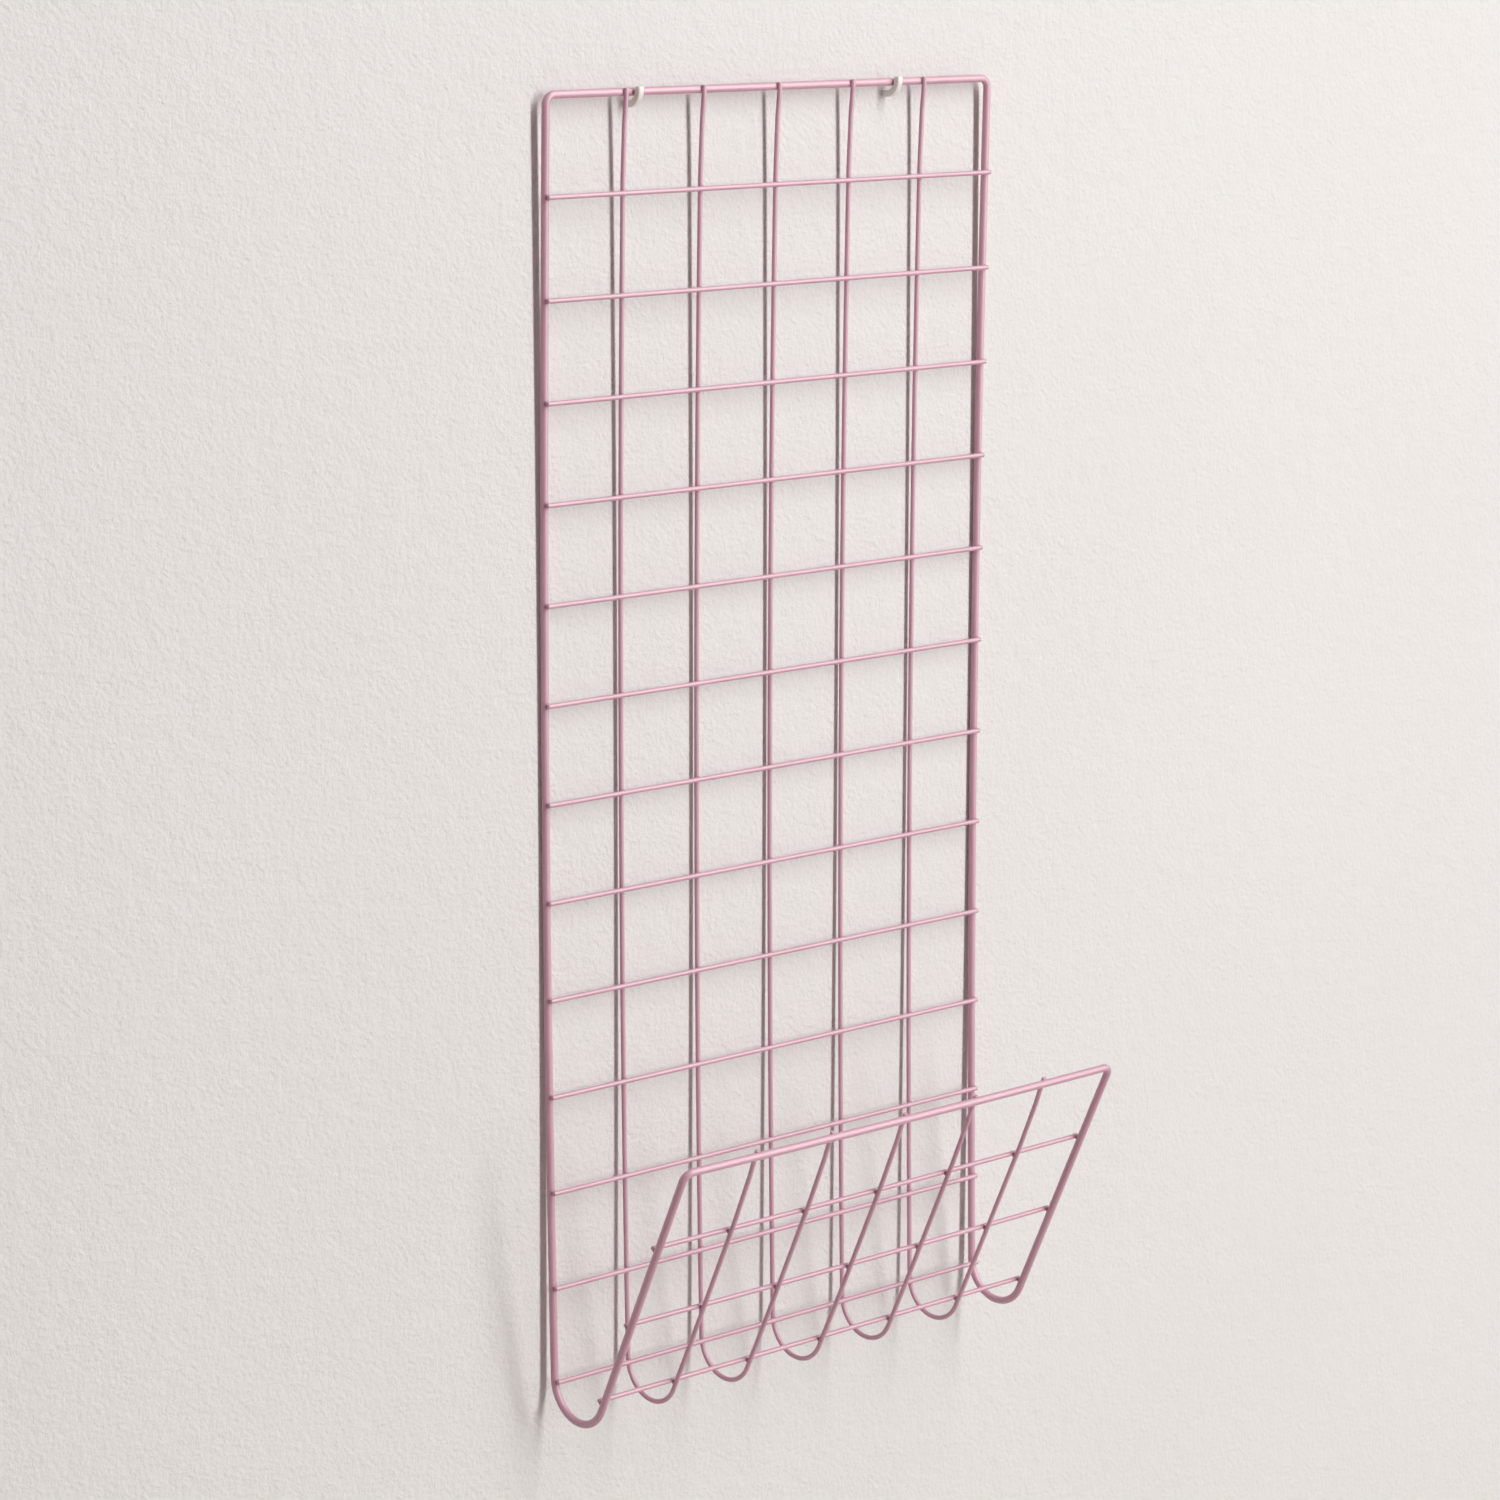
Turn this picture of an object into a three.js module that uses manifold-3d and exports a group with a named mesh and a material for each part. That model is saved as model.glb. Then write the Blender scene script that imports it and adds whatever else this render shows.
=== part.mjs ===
// Wall-hung magazine rack of welded wire, on two small hooks.
// Millimetres, +Z up. The wall is the plane y = 0 and the room lies towards -Y.
// The origin is on the wall, under the middle of the rack, at the height of the hooks' screws.

import * as THREE from 'three';
import { mergeVertices } from 'three/addons/utils/BufferGeometryUtils.js';
import Module from 'manifold-3d';

// Wires
const frameWire = 4; // diameter of the outer loop
const meshWire = 2.5; // diameter of the long wires and the cross wires
const weldGap = 0.1; // clearance where two wires cross and are welded
const frameSides = 16; // facets round the outer loop
const meshSides = 12; // facets round the thin wires
const cutRound = 0.3; // softened edge of a cross wire's cut ends

// Mesh, measured along the wires before they are bent
const rackWidth = 300; // over the outside of the outer loop
const cornerRadius = 5; // centreline, at all four corners of the outer loop
const columnPitch = 50; // from one long wire to the next
const rowPitch = 50; // from one cross wire to the next
const longWires = 5;
const backRows = 13;
const frontRows = 3;
const topCell = 48.8; // top bar to the first cross wire
const bendCell = 54.4; // last back cross wire to the first front one, round the bend
const rimCell = 49.6; // last front cross wire to the rim
const crossOverhang = 0.9; // cross wire beyond the centreline of the outer loop
const topTip = 2.2; // long wire above the centreline of the top bar
const rimTip = 1.6; // long wire above the centreline of the rim
const joggleMargin = 3.5; // straight wire on each side of a crossing, before a joggle
const joggleEase = 0.12; // share of a joggle's length over which each of its ends is bent

// Bends
const bendRadius = 19.8; // centreline of the bend under the pocket
const bendLead = 2.6; // the bend starts this far above the last back cross wire
const frontLean = THREE.MathUtils.degToRad(25); // slope of the front, from upright
const backBow = 4; // the back bows this far towards the wall between its ends

// Hanging
const wallGap = 0.3; // wall to the outer loop, where the back bows closest
const seatGap = 0.2; // top bar to the curve of the hooks that it rests in
const hookThickness = 3.6; // square section of a hook
const hookEdge = 0.8; // rounded edges of that section
const hookBend = 7.5; // centreline radius of a hook's bend
const hookSlack = 0.5; // top bar to the upturned arm of a hook
const hookRise = 0.8; // upturned arm above the top of the top bar
const hookTipEdge = 0.7; // rounded edge of the arm's tip
const hookPlaces = { left: -93, right: 80 };

// Screws behind the hooks
const screwDiameter = 2;
const screwReach = 24; // inside the wall
const screwPoint = 4; // length of the tapered point
const screwSeat = 4.4; // inside the hook
const screwClearance = 0.1; // all round and at the end of its bore
const screwSides = 20;

const wasm = await Module();
wasm.setup();

// Flat layout: s runs from the top bar down the back, round the bend and up to the rim
const backRowPlaces = Array.from({ length: backRows }, (_, row) => topCell + row * rowPitch);
const lastBackRow = backRowPlaces[backRows - 1];
const frontRowPlaces = Array.from({ length: frontRows }, (_, row) => lastBackRow + bendCell + row * rowPitch);
const lastFrontRow = frontRowPlaces[frontRows - 1];
const flatLength = lastFrontRow + rimCell;
const halfWidth = (rackWidth - frameWire) / 2;

// Offsets from the plane of the outer loop towards the pocket
const crossingOffset = (frameWire + meshWire) / 2 + weldGap;
const longWireOffset = crossingOffset - meshWire - weldGap;

// The bent side view: a slight bow down the back, the bend, and the straight front
const backLength = lastBackRow - bendLead;
const bowAngle = 4 * backBow / backLength;
const bowRadius = backLength / (2 * bowAngle);
const frontHeading = Math.PI - frontLean;
const bendLength = bendRadius * (frontHeading - bowAngle);
const barY = -(frameWire / 2 + wallGap + backBow);

// The top bar rests in the bend of the hooks, against its outer side
const hookReach = -barY + frameWire / 2 + hookSlack + hookThickness / 2;
const seatRadius = hookBend - hookThickness / 2 - seatGap - frameWire / 2;
const seatAcross = hookReach - hookBend + barY;
const barZ = hookBend - Math.sqrt(seatRadius ** 2 - seatAcross ** 2);

const alongAt = (heading) => new THREE.Vector2(-Math.sin(heading), -Math.cos(heading));
const inwardAt = (heading) => new THREE.Vector2(-Math.cos(heading), Math.sin(heading));

function arcPoint(start, startHeading, radius, heading) {
  return start.clone()
    .addScaledVector(inwardAt(startHeading), radius)
    .addScaledVector(inwardAt(heading), -radius);
}

const backTop = new THREE.Vector2(barY, barZ);
const bendStart = arcPoint(backTop, -bowAngle, bowRadius, bowAngle);
const bendEnd = arcPoint(bendStart, bowAngle, bendRadius, frontHeading);

// The point (y, z) and the heading of the side view at flat length s
function sideView(s) {
  if (s <= backLength) {
    const heading = bowAngle * (2 * s / backLength - 1);
    return { point: arcPoint(backTop, -bowAngle, bowRadius, heading), heading };
  }
  const past = s - backLength;
  if (past <= bendLength) {
    const heading = bowAngle + past / bendRadius;
    return { point: arcPoint(bendStart, bowAngle, bendRadius, heading), heading };
  }
  const point = bendEnd.clone().addScaledVector(alongAt(frontHeading), past - bendLength);
  return { point, heading: frontHeading };
}

// A station of a wire: flat place (x, s), offset towards the pocket, and the flat direction there
function station(x, s, offset, dx, ds, dOffset) {
  const { point, heading } = sideView(s);
  const inward = inwardAt(heading);
  const along = alongAt(heading);
  point.addScaledVector(inward, offset);
  const run = along.multiplyScalar(ds).addScaledVector(inward, dOffset);
  return {
    point: new THREE.Vector3(x, point.x, point.y),
    tangent: new THREE.Vector3(dx, run.x, run.y).normalize(),
  };
}

// A curve through given stations, with as many as each stretch needs
class WirePath extends THREE.Curve {
  constructor(stations) {
    super();
    this.stations = stations;
  }

  at(u) {
    return this.stations[Math.round(u * (this.stations.length - 1))];
  }

  getPointAt(u) {
    return this.at(u).point.clone();
  }

  getTangentAt(u) {
    return this.at(u).tangent.clone();
  }
}

function sweptGeometry(section, curveSegments, stations) {
  return new THREE.ExtrudeGeometry(section, {
    steps: stations.length - 1,
    curveSegments,
    extrudePath: new WirePath(stations),
  });
}

function wireGeometry(stations, diameter, sides) {
  const section = new THREE.Shape().absarc(0, 0, diameter / 2, 0, 2 * Math.PI);
  return sweptGeometry(section, sides / 2, stations);
}

// The values from a to b in equal steps
function steps(a, b, count) {
  return Array.from({ length: count + 1 }, (_, i) => a + (b - a) * i / count);
}

function weldedGeometry(geometry) {
  const bare = geometry.clone();
  bare.deleteAttribute('normal');
  bare.deleteAttribute('uv');
  return mergeVertices(bare, 1e-4);
}

function toSolid(geometry) {
  const welded = weldedGeometry(geometry);
  return new wasm.Manifold(new wasm.Mesh({
    numProp: 3,
    vertProperties: Float32Array.from(welded.getAttribute('position').array),
    triVerts: Uint32Array.from(welded.getIndex().array),
  }));
}

function toGeometry(solid) {
  const mesh = solid.getMesh();
  const geometry = new THREE.BufferGeometry();
  geometry.setAttribute('position', new THREE.BufferAttribute(mesh.vertProperties, 3));
  geometry.setIndex(new THREE.BufferAttribute(mesh.triVerts, 1));
  geometry.computeVertexNormals();
  return geometry;
}

// The same shape on the other side of x = 0
function mirrored(geometry) {
  const twin = weldedGeometry(geometry).scale(-1, 1, 1);
  const index = twin.getIndex();
  for (let i = 0; i < index.count; i += 3) {
    const first = index.getX(i);
    index.setX(i, index.getX(i + 1));
    index.setX(i + 1, first);
  }
  return twin;
}

// Flat lengths at which a wire down the rack has a station, between two of its points
const bowSteps = 8;
const bendSteps = 18;
function bentStretch(from, to) {
  return [
    ...steps(from, backLength, bowSteps),
    ...steps(backLength, backLength + bendLength, bendSteps).slice(1),
    to,
  ];
}

// One half of the outer loop, from the middle of the top bar to the middle of the rim
const cornerSteps = 6;
function frameHalf() {
  const side = halfWidth - cornerRadius;
  const stations = [station(0, 0, 0, -1, 0, 0)];
  for (const turn of steps(0, Math.PI / 2, cornerSteps)) {
    const x = -side - cornerRadius * Math.sin(turn);
    const s = cornerRadius * (1 - Math.cos(turn));
    stations.push(station(x, s, 0, -Math.cos(turn), Math.sin(turn), 0));
  }
  for (const s of bentStretch(cornerRadius, flatLength - cornerRadius).slice(1, -1)) {
    stations.push(station(-halfWidth, s, 0, 0, 1, 0));
  }
  for (const turn of steps(0, Math.PI / 2, cornerSteps)) {
    const x = -side - cornerRadius * Math.cos(turn);
    const s = flatLength - cornerRadius * (1 - Math.sin(turn));
    stations.push(station(x, s, 0, Math.sin(turn), Math.cos(turn), 0));
  }
  stations.push(station(0, flatLength, 0, 1, 0, 0));
  return wireGeometry(stations, frameWire, frameSides);
}

function frameGeometry() {
  const half = frameHalf();
  return toGeometry(toSolid(half).add(toSolid(mirrored(half))));
}

// A straight rise from 0 to 1 with both ends eased, and its slope, at a share of its length
function ramp(share) {
  const slope = 1 / (1 - joggleEase);
  if (share < joggleEase) {
    return { part: slope * share ** 2 / (2 * joggleEase), slope: slope * share / joggleEase };
  }
  if (share > 1 - joggleEase) {
    const rest = 1 - share;
    return { part: 1 - slope * rest ** 2 / (2 * joggleEase), slope: slope * rest / joggleEase };
  }
  return { part: slope * (share - joggleEase / 2), slope };
}

// A long wire lies level with the front of the outer loop, behind the cross wires,
// and joggles forward in its end cells to pass over the top bar and inside the rim
const easeSteps = 2;
function longWireGeometry(x) {
  const topEnd = topCell - joggleMargin;
  const rimStart = lastFrontRow + joggleMargin;
  const rimEnd = flatLength - joggleMargin;
  const rise = crossingOffset - longWireOffset;
  const shares = [...steps(0, joggleEase, easeSteps), ...steps(1 - joggleEase, 1, easeSteps)];
  const joggled = (share, from, to) => {
    const { part, slope } = ramp(share);
    const offset = longWireOffset + part * rise;
    return station(x, from + (to - from) * share, offset, 0, 1, slope * rise / (to - from));
  };
  const stations = [station(x, -topTip, crossingOffset, 0, 1, 0)];
  for (const share of shares.toReversed()) {
    stations.push(joggled(share, topEnd, joggleMargin));
  }
  for (const s of bentStretch(topEnd, rimStart).slice(1, -1)) {
    stations.push(station(x, s, longWireOffset, 0, 1, 0));
  }
  for (const share of shares) {
    stations.push(joggled(share, rimStart, rimEnd));
  }
  stations.push(station(x, flatLength + rimTip, crossingOffset, 0, 1, 0));
  return wireGeometry(stations, meshWire, meshSides);
}

// A cross wire, along X, its cut ends softened by the coating
const cutSteps = 2;
function crossWireGeometry() {
  const radius = meshWire / 2;
  const half = halfWidth + crossOverhang;
  const end = steps(0, Math.PI / 2, cutSteps).map((turn) => new THREE.Vector2(
    radius - cutRound * (1 - Math.cos(turn)),
    half - cutRound * (1 - Math.sin(turn)),
  ));
  const outline = [...end, new THREE.Vector2(0, half)];
  const nearHalf = outline.map((point) => new THREE.Vector2(point.x, -point.y)).reverse();
  return new THREE.LatheGeometry([...nearHalf, ...outline], meshSides).rotateZ(-Math.PI / 2);
}

// The section of a hook: a square with rounded edges
const edgeSegments = 3;
function hookSection() {
  const corner = hookThickness / 2 - hookEdge;
  const section = new THREE.Shape();
  section.absarc(corner, corner, hookEdge, 0, Math.PI / 2);
  section.absarc(-corner, corner, hookEdge, Math.PI / 2, Math.PI);
  section.absarc(-corner, -corner, hookEdge, Math.PI, 3 * Math.PI / 2);
  section.absarc(corner, -corner, hookEdge, 3 * Math.PI / 2, 2 * Math.PI);
  return section;
}

// The hook: out of the wall under the top bar and up in front of it, bored for its screw
const hookTop = barZ + frameWire / 2 + hookRise;
const hookTurnSteps = 12;
const tipSteps = 3;
function hookGeometry() {
  const at = (y, z, turn) => ({
    point: new THREE.Vector3(0, y, z),
    tangent: new THREE.Vector3(0, -Math.cos(turn), Math.sin(turn)),
  });
  const stations = [at(0, 0, 0)];
  for (const turn of steps(0, Math.PI / 2, hookTurnSteps)) {
    const y = -(hookReach - hookBend) - hookBend * Math.sin(turn);
    stations.push(at(y, hookBend * (1 - Math.cos(turn)), turn));
  }
  const tipStart = hookTop - hookTipEdge;
  for (const turn of steps(0, Math.PI / 2, tipSteps)) {
    stations.push(at(-hookReach, tipStart + hookTipEdge * Math.sin(turn), Math.PI / 2));
  }
  const rod = sweptGeometry(hookSection(), edgeSegments, stations);
  roundTip(rod, tipStart);
  const boreRadius = screwDiameter / 2 + screwClearance;
  const boreDepth = screwSeat + screwClearance;
  const bore = new THREE.CylinderGeometry(boreRadius, boreRadius, 2 * boreDepth, screwSides);
  return toGeometry(toSolid(rod).subtract(toSolid(bore)));
}

// Draws the arm's tip in to a rounded edge, above the height where the rounding starts
function roundTip(rod, tipStart) {
  const position = rod.getAttribute('position');
  const half = hookThickness / 2;
  for (let i = 0; i < position.count; i += 1) {
    const past = Math.max(0, position.getZ(i) - tipStart);
    const drop = hookTipEdge - Math.sqrt(Math.max(0, hookTipEdge ** 2 - past ** 2));
    const shrink = (half - drop) / half;
    position.setX(i, position.getX(i) * shrink);
    if (past > 0) position.setY(i, (position.getY(i) + hookReach) * shrink - hookReach);
  }
}

// The screw, along +Y into the wall, with a tapered point
function screwGeometry() {
  const radius = screwDiameter / 2;
  const outline = [
    new THREE.Vector2(0, -screwSeat),
    new THREE.Vector2(radius, -screwSeat),
    new THREE.Vector2(radius, screwReach - screwPoint),
    new THREE.Vector2(0, screwReach),
  ];
  return new THREE.LatheGeometry(outline, screwSides);
}

const pinkPowderCoat = { color: 0xd9a5b8, roughness: 0.42, metalness: 0 };
const whitePlastic = { color: 0xf1eee6, roughness: 0.35, metalness: 0 };
const zincPlatedSteel = { color: 0xb9bbbd, roughness: 0.32, metalness: 1 };

const rack = new THREE.Group();
const magazineHolder = new THREE.Group();
magazineHolder.add(rack);

function addPiece(group, name, geometry, finish) {
  const mesh = new THREE.Mesh(geometry, new THREE.MeshStandardMaterial(finish));
  mesh.name = name;
  group.add(mesh);
  return mesh;
}

function addCrossWire(name, s) {
  const mesh = addPiece(rack, name, crossWireGeometry(), pinkPowderCoat);
  mesh.position.copy(station(0, s, crossingOffset, 0, 1, 0).point);
}

addPiece(rack, 'frame_wire', frameGeometry(), pinkPowderCoat);
for (let i = 0; i < longWires; i += 1) {
  const x = (i - (longWires - 1) / 2) * columnPitch;
  addPiece(rack, `long_wire_${i + 1}`, longWireGeometry(x), pinkPowderCoat);
}
backRowPlaces.forEach((s, i) => addCrossWire(`back_cross_wire_${String(i + 1).padStart(2, '0')}`, s));
frontRowPlaces.forEach((s, i) => addCrossWire(`front_cross_wire_${i + 1}`, s));

for (const [side, x] of Object.entries(hookPlaces)) {
  const hook = new THREE.Group();
  hook.position.set(x, 0, 0);
  addPiece(hook, `hook_${side}`, hookGeometry(), whitePlastic);
  addPiece(hook, `hook_screw_${side}`, screwGeometry(), zincPlatedSteel);
  magazineHolder.add(hook);
}

export default magazineHolder;
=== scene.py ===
import math

import bmesh
import bpy
from mathutils import Matrix, Vector


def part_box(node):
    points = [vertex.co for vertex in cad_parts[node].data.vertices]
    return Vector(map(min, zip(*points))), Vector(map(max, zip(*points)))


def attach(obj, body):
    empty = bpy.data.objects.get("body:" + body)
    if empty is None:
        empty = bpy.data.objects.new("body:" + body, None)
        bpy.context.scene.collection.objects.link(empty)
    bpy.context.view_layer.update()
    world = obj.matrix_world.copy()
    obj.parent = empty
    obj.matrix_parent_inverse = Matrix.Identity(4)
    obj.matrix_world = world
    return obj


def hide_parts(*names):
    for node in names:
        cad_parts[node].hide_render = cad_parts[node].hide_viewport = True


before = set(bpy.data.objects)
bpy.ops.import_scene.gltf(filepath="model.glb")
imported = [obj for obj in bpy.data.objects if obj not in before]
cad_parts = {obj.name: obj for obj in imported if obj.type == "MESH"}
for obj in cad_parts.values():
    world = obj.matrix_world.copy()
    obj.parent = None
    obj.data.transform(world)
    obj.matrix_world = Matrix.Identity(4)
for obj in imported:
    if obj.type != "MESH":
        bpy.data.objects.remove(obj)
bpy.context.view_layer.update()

# A wall magazine rack of welded wire. Sizes are in metres, in the frame of the solids.
MM = 0.001

# Wires, as the solids have them
FRAME_RADIUS = 2 * MM
MESH_RADIUS = 1.25 * MM
WELD_GAP = 0.1 * MM
CORNER_RADIUS = 5 * MM
COLUMN_PITCH = 50 * MM
ROW_PITCH = 50 * MM
LONG_WIRES = 5
BACK_ROWS = 13
FRONT_ROWS = 3
TOP_CELL = 48.8 * MM
BEND_CELL = 54.4 * MM
RIM_CELL = 49.6 * MM
TOP_TIP = 2.2 * MM
RIM_TIP = 1.6 * MM
JOGGLE_MARGIN = 3.5 * MM
JOGGLE_EASE = 0.12

# Bends, as the solids have them
BEND_RADIUS = 19.8 * MM
BEND_LEAD = 2.6 * MM
FRONT_LEAN = math.radians(25)
BACK_BOW = 4 * MM

# Wires, in the looks only: the bends beside the bars, the welds, the cut ends and the front's belly
KINK_SHARE = 0.42
KINK_START = 1.0 * MM
KINK_LENGTH = 14 * MM
WELD_SINK = 0.8 * MM
WELD_SPREAD = 1.55 * MM
WELD_DEPTH = 0.62 * MM
CUT_EDGE_SHARE = 0.28
CUT_END_REACH = 2 * MM
FRONT_BELLY = 0.8 * MM
BELLY_RISE = 1.5 * ROW_PITCH

# Hooks and screws
HOOK_EDGE = 0.8 * MM
HOOK_BEND = 7.5 * MM
HOOK_TIP_EDGE = 0.7 * MM
SCREW_POINT = 4 * MM
COLLAR_END = 1.5 * MM
THREAD_START = 2 * MM
THREAD_PITCH = 0.9 * MM
THREAD_DEPTH = 0.25 * MM
THREAD_ROOT_SHARE = 0.9
THREAD_WIDTH_SHARE = 0.7
CREST_SHARES = (0.3, 0.4)

# How finely the meshes are cut
FRAME_SIDES = 32
MESH_SIDES = 24
WIRE_STEPS = 24
BEND_STEPS = 48
FRONT_STEPS = 16
CORNER_STEPS = 14
CUT_STEPS = 5
KINK_STEPS = 16
JOGGLE_STEPS = 20
WELD_SIDES = 16
HOOK_EDGE_STEPS = 5
HOOK_BEND_STEPS = 28
SCREW_SIDES = 32
THREAD_STEPS = 24
MERGE_DISTANCE = 1e-6
SHARP_ANGLE = math.radians(50)

# Flat layout: s runs from the top bar down the back, round the bend and up to the rim
back_rows = [TOP_CELL + row * ROW_PITCH for row in range(BACK_ROWS)]
front_rows = [back_rows[-1] + BEND_CELL + row * ROW_PITCH for row in range(FRONT_ROWS)]
columns = [(i - (LONG_WIRES - 1) / 2) * COLUMN_PITCH for i in range(LONG_WIRES)]
flat_length = front_rows[-1] + RIM_CELL
loop_low, loop_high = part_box("frame_wire")
half_width = (loop_high[0] - loop_low[0]) / 2 - FRAME_RADIUS
crossing_offset = FRAME_RADIUS + MESH_RADIUS + WELD_GAP
long_offset = crossing_offset - 2 * MESH_RADIUS - WELD_GAP
weld_offset = FRAME_RADIUS + WELD_GAP / 2

back_length = back_rows[-1] - BEND_LEAD
bow_angle = 4 * BACK_BOW / back_length
bow_radius = back_length / (2 * bow_angle)
front_heading = math.pi - FRONT_LEAN
bend_length = BEND_RADIUS * (front_heading - bow_angle)


def along(heading):
    """Direction down the wire in the side view (y, z)."""
    return Vector((-math.sin(heading), -math.cos(heading)))


def inward(heading):
    """Direction from the wire towards the pocket in the side view (y, z)."""
    return Vector((-math.cos(heading), math.sin(heading)))


def arc_point(start, start_heading, radius, heading):
    """Point of a side view arc where the wire, which leaves start at start_heading, has turned to heading."""
    return start + inward(start_heading) * radius - inward(heading) * radius


back_top = Vector((loop_high[1] - FRAME_RADIUS - BACK_BOW, loop_high[2] - FRAME_RADIUS))
bend_start = arc_point(back_top, -bow_angle, bow_radius, bow_angle)
bend_end = arc_point(bend_start, bow_angle, BEND_RADIUS, front_heading)


def side_view(s):
    """Point (y, z) and heading of the bent rack at flat length s."""
    if s <= back_length:
        heading = bow_angle * (2 * s / back_length - 1)
        return arc_point(back_top, -bow_angle, bow_radius, heading), heading
    past = s - back_length
    if past <= bend_length:
        heading = bow_angle + past / BEND_RADIUS
        return arc_point(bend_start, bow_angle, BEND_RADIUS, heading), heading
    return bend_end + along(front_heading) * (past - bend_length), front_heading


def belly(x, s):
    """How far the front bulges outwards between its legs."""
    share = min(max((s - back_length - bend_length / 2) / BELLY_RISE, 0), 1)
    return FRONT_BELLY * (1 - min(abs(x) / half_width, 1) ** 2) * share * share * (3 - 2 * share)


def place(x, s, offset=0.0):
    """Point in the room of the flat place (x, s), lifted by offset towards the pocket."""
    point, heading = side_view(s)
    point = point + inward(heading) * (offset - belly(x, s))
    return Vector((x, point.x, point.y))


def steps(a, b, count):
    """Values from a to b, both kept, in count even steps."""
    return [a + (b - a) * i / count for i in range(count + 1)]


def ramp(share):
    """A straight rise from 0 to 1 with both ends eased."""
    slope = 1 / (1 - JOGGLE_EASE)
    if share > 0.5:
        return 1 - ramp(1 - share)
    if share < JOGGLE_EASE:
        return slope * max(share, 0) ** 2 / (2 * JOGGLE_EASE)
    return slope * (share - JOGGLE_EASE / 2)


# Shaders

class Link:
    """A socket that takes part in Python arithmetic, adding Math nodes."""

    def __init__(self, finish, socket):
        self.finish = finish
        self.socket = socket

    def maths(self, operation, *values):
        """The result of one Math node."""
        return self.finish.node("ShaderNodeMath", {"operation": operation}, dict(enumerate(values)))

    def __add__(self, other):
        return self.maths("ADD", self, other)

    __radd__ = __add__

    def __sub__(self, other):
        return self.maths("SUBTRACT", self, other)

    def __rsub__(self, other):
        return self.maths("SUBTRACT", other, self)

    def __mul__(self, other):
        return self.maths("MULTIPLY", self, other)

    __rmul__ = __mul__

    def __abs__(self):
        return self.maths("ABSOLUTE", self)


class Finish:
    """Nodes made by code, for a material or for the world."""

    def __init__(self, owner):
        self.owner = owner
        owner.use_nodes = True
        self.tree = owner.node_tree
        self.tree.nodes.clear()

    def node(self, kind, settings=None, sockets=None, output=0):
        """Adds a node: its settings first, then the values or links of its sockets."""
        node = self.tree.nodes.new(kind)
        for name, value in (settings or {}).items():
            setattr(node, name, value)
        for name, value in (sockets or {}).items():
            if isinstance(value, Link):
                self.tree.links.new(value.socket, node.inputs[name])
            else:
                node.inputs[name].default_value = value
        return Link(self, node.outputs[output]) if node.outputs else None

    def noise(self, where, period, detail=2.0, roughness=0.5):
        """Noise of about the given period in metres, from 0 to 1."""
        return self.node("ShaderNodeTexNoise", None, {
            "Vector": where, "Scale": 1 / period, "Detail": detail, "Roughness": roughness,
        })

    def fade(self, value, low, high):
        """0 below low, 1 above high, smooth between."""
        return self.node("ShaderNodeMapRange", {"interpolation_type": "SMOOTHSTEP"}, {
            "Value": value, "From Min": low, "From Max": high,
        })

    def mix(self, share, first, second):
        """Two colours mixed. The node's sockets share their names, so these are their numbers."""
        return self.node("ShaderNodeMix", {"data_type": "RGBA"}, {0: share, 6: first, 7: second}, 2)

    def bump(self, height, strength, distance, base=None):
        """A normal that follows height, over the normal base where one is given."""
        sockets = {"Height": height, "Strength": strength, "Distance": distance}
        if base is not None:
            sockets["Normal"] = base
        return self.node("ShaderNodeBump", None, sockets)

    def where(self):
        """Place on the object, in metres."""
        return self.node("ShaderNodeTexCoord", None, None, "Object")

    def split(self, vector, axis):
        """One axis of a vector."""
        return self.node("ShaderNodeSeparateXYZ", None, {"Vector": vector}, axis)

    def shown(self, shader, kind="ShaderNodeOutputMaterial"):
        """Ends the tree in its output node and gives back the material or world."""
        self.node(kind, None, {"Surface": shader})
        return self.owner

    def surface(self, sockets):
        """A material of one Principled shader with these sockets."""
        return self.shown(self.node("ShaderNodeBsdfPrincipled", None, sockets))


def colour(red, green, blue):
    """A colour written in sRGB, 0 to 255."""
    def linear(value):
        value /= 255
        return value / 12.92 if value <= 0.04045 else ((value + 0.055) / 1.055) ** 2.4
    return (linear(red), linear(green), linear(blue), 1.0)


def pink_powder_coat():
    """Satin powder coat: pink with faint orange peel and fine grain, and painted shade at the welds."""
    coat = Finish(bpy.data.materials.new("pink_powder_coat"))
    where = coat.where()
    cloud = coat.noise(where, period=45 * MM, detail=3.0)
    grain = coat.noise(where, period=0.45 * MM, detail=3.0, roughness=0.6)
    peel = coat.noise(where, period=2.2 * MM, detail=1.0, roughness=0.4)
    specks = coat.fade(coat.noise(where, period=1.3 * MM, detail=0.0), low=0.735, high=0.79)
    pink = coat.mix(coat.fade(cloud, low=0.35, high=0.65), colour(192, 143, 161), colour(198, 150, 168))
    pink = coat.mix(grain * 0.22, pink, colour(212, 172, 188))
    pink = coat.mix(specks * 0.45, pink, colour(196, 138, 160))
    # Painted shade: the weld beads are darkened to stand in for the shade in the crevices where wires cross
    shade_painted_weld = coat.node("ShaderNodeAttribute", {"attribute_name": "shade_painted_weld"}, None, "Fac")
    pink = coat.mix(shade_painted_weld * 0.8, pink, colour(150, 94, 113))
    orange_peel = coat.bump(peel, strength=0.22, distance=0.09 * MM)
    return coat.surface({
        "Base Color": pink,
        "Roughness": 0.46 + cloud * 0.06 + grain * 0.05 + specks * 0.1,
        "Specular IOR Level": 0.7,
        "Coat Weight": 0.4,
        "Coat Roughness": 0.42,
        "Normal": coat.bump(grain, strength=0.16, distance=0.03 * MM, base=orange_peel),
    })


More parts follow.
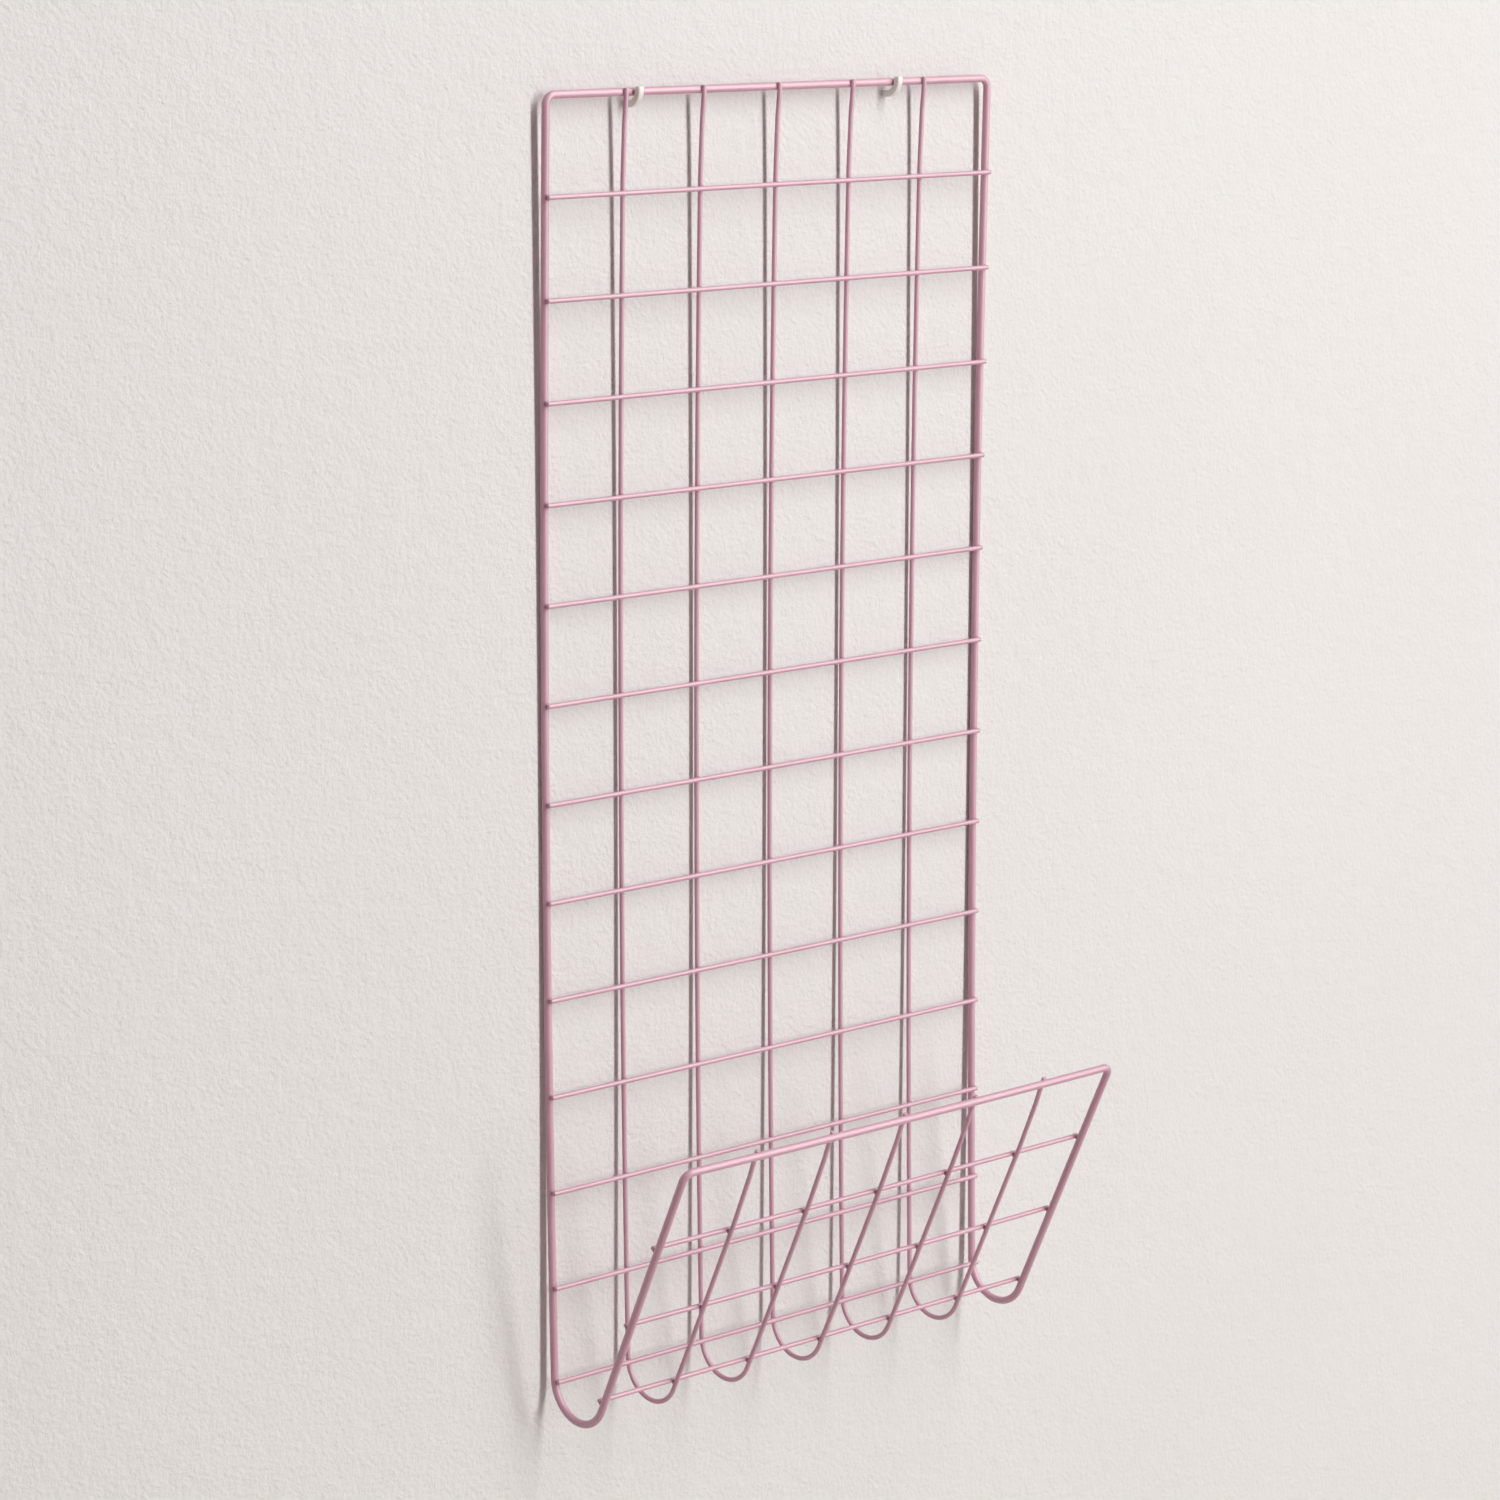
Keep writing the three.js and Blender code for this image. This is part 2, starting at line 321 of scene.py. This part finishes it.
def white_plastic():
    """White moulded plastic with a faint flow ripple, handling marks and painted shade at its root by the
    wall.
    """
    plastic = Finish(bpy.data.materials.new("white_plastic"))
    where = plastic.where()
    cloud = plastic.noise(where, period=4 * MM, detail=4.0, roughness=0.6)
    ripple = plastic.noise(where, period=1.4 * MM, detail=1.0)
    smears = plastic.noise(where, period=2.1 * MM, detail=5.0, roughness=0.7)
    marks = plastic.fade(smears, low=0.58, high=0.68)
    white = plastic.mix(plastic.fade(cloud, low=0.3, high=0.7), colour(232, 229, 222), colour(239, 237, 231))
    white = plastic.mix(marks * 0.22, white, colour(220, 211, 197))
    # Painted shade: the hook is darkened towards the wall, where it meets it
    root = 1 - plastic.fade(abs(plastic.split(where, "Y")), low=0.2 * MM, high=1.6 * MM)
    white = plastic.mix(root * 0.35, white, colour(198, 188, 172))
    return plastic.surface({
        "Base Color": white,
        "Roughness": 0.38 + cloud * 0.1 + marks * 0.15,
        "Specular IOR Level": 0.4,
        "Normal": plastic.bump(ripple, strength=0.2, distance=0.06 * MM),
    })


def zinc_plated_steel():
    """Bright zinc plate with turning marks and darker flecks."""
    steel = Finish(bpy.data.materials.new("zinc_plated_steel"))
    where = steel.where()
    cloud = steel.noise(where, period=3 * MM, detail=4.0, roughness=0.6)
    squeezed = steel.node("ShaderNodeMapping", None, {"Vector": where, "Scale": (1.0, 9.0, 1.0)})
    turned = steel.noise(squeezed, period=1.2 * MM, detail=3.0)
    grey = steel.mix(steel.fade(cloud, low=0.3, high=0.7), colour(178, 180, 178), colour(203, 204, 200))
    grey = steel.mix(steel.fade(turned, low=0.6, high=0.72) * 0.4, grey, colour(139, 138, 132))
    return steel.surface({
        "Base Color": grey,
        "Metallic": 1.0,
        "Roughness": 0.26 + cloud * 0.16,
        "Normal": steel.bump(turned, strength=0.15, distance=0.03 * MM),
    })


# Mesh making

def finished(name, mesh, material, slot, body, *nodes):
    """An object at the origin that stands for CAD nodes and rides on a body."""
    for polygon in mesh.polygons:
        polygon.use_smooth = True
    mesh.set_sharp_from_angle(angle=SHARP_ANGLE)
    mesh.materials.clear()
    mesh.materials.append(material)
    piece = bpy.data.objects.new(name, mesh)
    bpy.context.scene.collection.objects.link(piece)
    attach(piece, body)
    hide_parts(*nodes)


def mesh_from(shape, name):
    """A mesh of a bmesh, which ends there."""
    mesh = bpy.data.meshes.new(name)
    shape.to_mesh(mesh)
    shape.free()
    return mesh


def tube(points, radii, sides, closed=False):
    """Mesh of a round wire through points, with its radius at each."""
    curve = bpy.data.curves.new("wire", "CURVE")
    curve.dimensions = "3D"
    curve.bevel_depth = 1.0
    # A round bevel has four sides and two more for each step of its resolution
    curve.bevel_resolution = (sides - 4) // 2
    curve.use_fill_caps = True
    spline = curve.splines.new("POLY")
    spline.points.add(len(points) - 1)
    for knot, point, radius in zip(spline.points, points, radii):
        knot.co = (*point, 1.0)
        knot.radius = radius
    spline.use_cyclic_u = closed
    carrier = bpy.data.objects.new("wire", curve)
    mesh = bpy.data.meshes.new_from_object(carrier)
    bpy.data.objects.remove(carrier)
    bpy.data.curves.remove(curve)
    return mesh


def outward(mesh, welds=()):
    """Closes the ends, adds the welds, marked for the shade painted on them, and turns all faces out."""
    shape = bmesh.new()
    shape.from_mesh(mesh)
    bmesh.ops.remove_doubles(shape, verts=shape.verts, dist=MERGE_DISTANCE)
    # The weld vertices are marked so that the coat paints shade on them
    painted_shade_mark = shape.verts.layers.float.new("shade_painted_weld")
    for shade_painted_weld in welds:
        for vert in shade_painted_weld(shape):
            vert[painted_shade_mark] = 1.0
    bmesh.ops.recalc_face_normals(shape, faces=shape.faces)
    shape.to_mesh(mesh)
    shape.free()
    return mesh


def weld_at(x, s):
    """The fused metal between two crossing wires, filling the corners where they meet."""
    centre = place(x, s, weld_offset)
    heading = side_view(s)[1]
    turn = Matrix.Rotation(heading, 4, "X").inverted()
    squash = Matrix.Diagonal((WELD_SPREAD, WELD_DEPTH, WELD_SPREAD, 1.0))

    def add(shape):
        return bmesh.ops.create_uvsphere(
            shape, u_segments=WELD_SIDES, v_segments=WELD_SIDES // 2, radius=1.0,
            matrix=Matrix.Translation(centre) @ turn @ squash,
        )["verts"]

    return add


def bent_stretch(start, end):
    """Flat lengths from start, round the bend, to end, closer where the wire curves."""
    bend_top = back_length + bend_length
    back = steps(start, back_length, WIRE_STEPS)[:-1]
    bend = steps(back_length, bend_top, BEND_STEPS)
    front = steps(bend_top, end, FRONT_STEPS)[1:]
    return back + bend + front


def outer_loop():
    """The thick wire: top bar, sides, bends, front legs and rim, with round corners."""
    side = half_width - CORNER_RADIUS
    far = flat_length - CORNER_RADIUS
    quarter = steps(0, math.pi / 2, CORNER_STEPS)
    flat = []
    for turn in quarter:
        flat.append((side + CORNER_RADIUS * math.sin(turn), CORNER_RADIUS * (1 - math.cos(turn))))
    flat += [(half_width, s) for s in bent_stretch(CORNER_RADIUS, far)[1:-1]]
    for turn in quarter:
        flat.append((side + CORNER_RADIUS * math.cos(turn), far + CORNER_RADIUS * math.sin(turn)))
    rim = [(x, flat_length) for x in steps(side, -side, WIRE_STEPS)[1:-1]]
    flat = flat + rim + [(-x, s) for x, s in reversed(flat)]
    points = [place(x, s) for x, s in flat]
    return outward(tube(points, [FRAME_RADIUS] * len(points), FRAME_SIDES, closed=True))


def cut_end():
    """(distance back from the end, share of the radius) round a softened cut end."""
    edge = CUT_EDGE_SHARE
    turns = steps(0, math.pi / 2, CUT_STEPS)
    return [(edge * MESH_RADIUS * (1 - math.sin(turn)), 1 - edge * (1 - math.cos(turn))) for turn in turns]


def long_wire(x):
    """A thin wire down the rack that joggles over the top bar and inside the rim."""
    rise = crossing_offset - WELD_SINK - long_offset
    top_end = TOP_CELL - JOGGLE_MARGIN
    rim_start = front_rows[-1] + JOGGLE_MARGIN
    rim_end = flat_length - JOGGLE_MARGIN

    def offset(s):
        if s < flat_length / 2:
            kink = 1 - ramp((s - KINK_START) / KINK_LENGTH)
            slope = 1 - ramp((s - JOGGLE_MARGIN) / (top_end - JOGGLE_MARGIN))
        else:
            kink = 1 - ramp((flat_length - s - KINK_START) / KINK_LENGTH)
            slope = ramp((s - rim_start) / (rim_end - rim_start))
        return long_offset + rise * (KINK_SHARE * kink + (1 - KINK_SHARE) * slope)

    ends = cut_end()
    places = [(-TOP_TIP + back, share) for back, share in reversed(ends)]
    top_kink_end = 2 * KINK_LENGTH
    rim_kink_start = flat_length - 2 * KINK_LENGTH
    middle = steps(KINK_START, top_kink_end, KINK_STEPS)
    middle += steps(top_kink_end, top_end, JOGGLE_STEPS)[1:]
    middle += bent_stretch(top_end, rim_start)[1:-1]
    middle += steps(rim_start, rim_kink_start, JOGGLE_STEPS)
    middle += steps(rim_kink_start, flat_length - KINK_START, KINK_STEPS)[1:]
    places += [(s, 1.0) for s in middle]
    places += [(flat_length + RIM_TIP - back, share) for back, share in ends]
    points = [place(x, s, offset(s)) for s, share in places]
    radii = [MESH_RADIUS * share for s, share in places]
    welds = [weld_at(x, 0), weld_at(x, flat_length)]
    return outward(tube(points, radii, MESH_SIDES), welds)


def cross_wire(node, s):
    """A thin wire across the rack, with its welds to the loop and the long wires."""
    low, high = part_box(node)
    half = (high[0] - low[0]) / 2
    ends = cut_end()
    places = [(-half + back, share) for back, share in reversed(ends)]
    places += [(x, 1.0) for x in steps(-half + CUT_END_REACH, half - CUT_END_REACH, WIRE_STEPS)]
    places += [(half - back, share) for back, share in ends]
    points = [place(x, s, crossing_offset) for x, share in places]
    radii = [MESH_RADIUS * share for x, share in places]
    welds = [weld_at(x, s) for x in (*columns, -half_width, half_width)]
    return outward(tube(points, radii, MESH_SIDES), welds)


def hook(node):
    """A moulded hook: a square bar with soft edges out of the wall, round a bend and up to its tip."""
    low, high = (Vector(corner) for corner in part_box(node))
    half = (high.x - low.x) / 2
    x = (high.x + low.x) / 2
    reach = -low.y - half
    shape = bmesh.new()
    upright = Matrix.Translation((x, 0, 0)) @ Matrix.Rotation(math.pi / 2, 4, "X")
    bmesh.ops.create_grid(shape, x_segments=1, y_segments=1, size=half, matrix=upright)
    bmesh.ops.bevel(
        shape, geom=shape.verts[:], offset=HOOK_EDGE, affect="VERTICES",
        segments=HOOK_EDGE_STEPS, profile=0.5, material=-1,
    )

    def drawn_out(faces, way):
        drawn = bmesh.ops.extrude_face_region(shape, geom=faces)["geom"]
        bmesh.ops.translate(shape, verts=[v for v in drawn if isinstance(v, bmesh.types.BMVert)], vec=way)
        return [face for face in drawn if isinstance(face, bmesh.types.BMFace)]

    end = drawn_out(shape.faces[:], (0, HOOK_BEND - reach, 0))
    bent = bmesh.ops.spin(
        shape, geom=end, cent=(x, HOOK_BEND - reach, HOOK_BEND), axis=(1, 0, 0),
        angle=-math.pi / 2, steps=HOOK_BEND_STEPS, use_merge=False,
    )["geom_last"]
    end = [face for face in bent if isinstance(face, bmesh.types.BMFace)]
    tip = drawn_out(end, (0, 0, high.z - HOOK_BEND))[0]
    bmesh.ops.bevel(
        shape, geom=tip.edges[:], offset=HOOK_TIP_EDGE, affect="EDGES",
        segments=HOOK_EDGE_STEPS, profile=0.5, material=-1,
    )

    # Drawing out and spinning leave their first faces inside the bar
    inner = [face for face in shape.faces if not any(edge.is_manifold for edge in face.edges)]
    bmesh.ops.delete(shape, geom=inner, context="FACES_ONLY")
    bmesh.ops.recalc_face_normals(shape, faces=shape.faces)
    return mesh_from(shape, node)


def screw(node):
    """The hook's shank: a collar, a turned core with a tapered point, and a rolled thread round it."""
    low, high = (Vector(corner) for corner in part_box(node))
    crest = (high.x - low.x) / 2
    core = crest - THREAD_DEPTH
    x = (high.x + low.x) / 2
    shape = bmesh.new()
    point_start = high.y - SCREW_POINT
    profile = [(0, low.y), (crest, low.y), (crest, COLLAR_END)]
    profile += [(core, THREAD_START), (core, point_start), (0, high.y)]
    corners = [shape.verts.new((x + reach, y, 0)) for reach, y in profile]
    edges = [shape.edges.new(pair) for pair in zip(corners, corners[1:])]
    bmesh.ops.spin(
        shape, geom=corners + edges, cent=(x, 0, 0), axis=(0, 1, 0),
        angle=2 * math.pi, steps=SCREW_SIDES, use_merge=True,
    )

    root = core * THREAD_ROOT_SHARE
    ridge = [(root, 0), (root, THREAD_WIDTH_SHARE)]
    ridge += [(crest, share) for share in reversed(CREST_SHARES)]
    ring = [shape.verts.new((x + reach, THREAD_START + share * THREAD_PITCH, 0)) for reach, share in ridge]
    face = shape.faces.new(ring)
    turns = (point_start - THREAD_START) / THREAD_PITCH - 1
    count = round(turns * THREAD_STEPS)
    bmesh.ops.spin(
        shape, geom=[face], cent=(x, 0, 0), axis=(0, 1, 0), dvec=(0, THREAD_PITCH / THREAD_STEPS, 0),
        angle=2 * math.pi * count / THREAD_STEPS, steps=count, use_merge=False,
    )
    bmesh.ops.remove_doubles(shape, verts=shape.verts, dist=MERGE_DISTANCE)
    bmesh.ops.recalc_face_normals(shape, faces=shape.faces)
    return mesh_from(shape, node)


# Pieces
pink = pink_powder_coat()
white = white_plastic()
zinc = zinc_plated_steel()

finished("outer_loop", outer_loop(), pink, "pink_powder_coat", "rack", "frame_wire")
for number, column in enumerate(columns, 1):
    node = f"long_wire_{number}"
    finished(f"long_wire.{number}", long_wire(column), pink, "pink_powder_coat", "rack", node)
for number, s in enumerate(back_rows, 1):
    node = f"back_cross_wire_{number:02d}"
    finished(f"back_row.{number:02d}", cross_wire(node, s), pink, "pink_powder_coat", "rack", node)
for number, s in enumerate(front_rows, 1):
    node = f"front_cross_wire_{number}"
    finished(f"front_row.{number}", cross_wire(node, s), pink, "pink_powder_coat", "rack", node)
for side in ("left", "right"):
    node = f"hook_{side}"
    finished(f"dipped_hook.{side}", hook(node), white, "white_plastic", "hooks", node)
    node = f"hook_screw_{side}"
    finished(f"wall_screw.{side}", screw(node), zinc, "zinc_plated_steel", "hooks", node)


# Stage: a plain pale wall and floor. The wall is clear from behind, so that the back shows.
WALL_HALF = 3.0
FLOOR_LEVEL = -1.25
WALL_TOP = 2.0


def stage_sheet(name, corners, material):
    """A flat sheet that isn't part of the object."""
    shape = bmesh.new()
    shape.faces.new([shape.verts.new(corner) for corner in corners])
    mesh = mesh_from(shape, name)
    mesh.materials.append(material)
    sheet = bpy.data.objects.new(name, mesh)
    bpy.context.scene.collection.objects.link(sheet)


def matt_paint(name, tone, shade, relief, clear_behind=False):
    """Matt paint over trowel waves and grit, mottled from tone to shade."""
    paint = Finish(bpy.data.materials.new(name))
    where = paint.where()
    trowelled = paint.noise(where, period=11 * MM, detail=3.0, roughness=0.6)
    grit = paint.noise(where, period=2.6 * MM, detail=2.0, roughness=0.6)
    cloud = paint.noise(where, period=300 * MM, detail=2.0)
    waves = paint.bump(trowelled, strength=relief, distance=1.2 * MM)
    sheet = paint.node("ShaderNodeBsdfDiffuse", None, {
        "Color": paint.mix(cloud * 0.8, tone, shade),
        "Normal": paint.bump(grit, strength=relief, distance=0.9 * MM, base=waves),
    })
    if clear_behind:
        behind = paint.node("ShaderNodeNewGeometry", None, None, "Backfacing")
        clear = paint.node("ShaderNodeBsdfTransparent")
        sheet = paint.node("ShaderNodeMixShader", None, {0: behind, 1: sheet, 2: clear})
    return paint.shown(sheet)


stage_sheet("wall", [
    (-WALL_HALF, 0, FLOOR_LEVEL), (WALL_HALF, 0, FLOOR_LEVEL),
    (WALL_HALF, 0, WALL_TOP), (-WALL_HALF, 0, WALL_TOP),
], matt_paint("wall_paint", colour(231, 230, 229), colour(226, 224, 222), relief=0.9, clear_behind=True))
stage_sheet("floor", [
    (-WALL_HALF, -WALL_HALF, FLOOR_LEVEL), (WALL_HALF, -WALL_HALF, FLOOR_LEVEL),
    (WALL_HALF, WALL_HALF, FLOOR_LEVEL), (-WALL_HALF, WALL_HALF, FLOOR_LEVEL),
], matt_paint("floor_paint", colour(226, 222, 217), colour(221, 217, 212), relief=0.2))

# Camera: a long lens from the left and a little above, turned as the photograph's
CAMERA_PLACE = Vector((-1441.33, -1625.9, 104.09)) * MM
CAMERA_YAW = math.radians(41.339)
CAMERA_DIP = math.radians(11.420)
CAMERA_ROLL = math.radians(0.140)
LENS = 102.56
SENSOR_WIDTH = 36

camera_data = bpy.data.cameras.new("camera")
camera_data.lens = LENS
camera_data.sensor_width = SENSOR_WIDTH
camera = bpy.data.objects.new("camera", camera_data)
camera.location = CAMERA_PLACE
camera.rotation_euler = (
    Matrix.Rotation(-CAMERA_YAW, 3, "Z")
    @ Matrix.Rotation(math.pi / 2 - CAMERA_DIP, 3, "X")
    @ Matrix.Rotation(CAMERA_ROLL, 3, "Z")
).to_euler()
bpy.context.scene.collection.objects.link(camera)
bpy.context.scene.camera = camera


# Light: a tall soft box from the right, a second that only the gloss shows, and a weak warm room
def soft_box(name, azimuth, elevation, distance, width, height, power, tone):
    """An area lamp that faces the rack's middle, at angles in degrees and a distance in metres."""
    data = bpy.data.lights.new(name, "AREA")
    data.shape = "RECTANGLE"
    data.size = width
    data.size_y = height
    data.energy = power
    data.color = tone
    lamp = bpy.data.objects.new(name, data)
    target = Vector((0, 0, (loop_low[2] + loop_high[2]) / 2))
    around = math.radians(azimuth)
    up = math.radians(elevation)
    away = Vector((math.sin(around) * math.cos(up), -math.cos(around) * math.cos(up), math.sin(up)))
    lamp.location = target + away * distance
    lamp.rotation_euler = away.to_track_quat("Z", "Y").to_euler()
    bpy.context.scene.collection.objects.link(lamp)
    return lamp


soft_box(
    "tall_box", azimuth=18, elevation=30, distance=3.4, width=0.5, height=5.2,
    power=137, tone=(1.0, 0.994, 0.986),
)
gloss_box = soft_box(
    "gloss_box", azimuth=41, elevation=30, distance=3.4, width=0.9, height=5.4,
    power=215, tone=(1.0, 0.995, 0.990),
)
gloss_box.visible_diffuse = False

ROOM_LIGHT = (0.12, 0.094, 0.09, 1.0)
ROOM_SEEN = (0.72, 0.70, 0.68, 1.0)

room = Finish(bpy.data.worlds.new("room"))
seen = room.node("ShaderNodeLightPath", None, None, "Is Camera Ray")
mirrored = room.node("ShaderNodeLightPath", None, None, "Is Glossy Ray")
through = room.node("ShaderNodeLightPath", None, None, "Is Transmission Ray")
tone = room.mix(seen + mirrored + through, ROOM_LIGHT, ROOM_SEEN)
backdrop = room.node("ShaderNodeBackground", None, {"Color": tone})
bpy.context.scene.world = room.shown(backdrop, "ShaderNodeOutputWorld")
bpy.context.scene.view_settings.view_transform = "Standard"
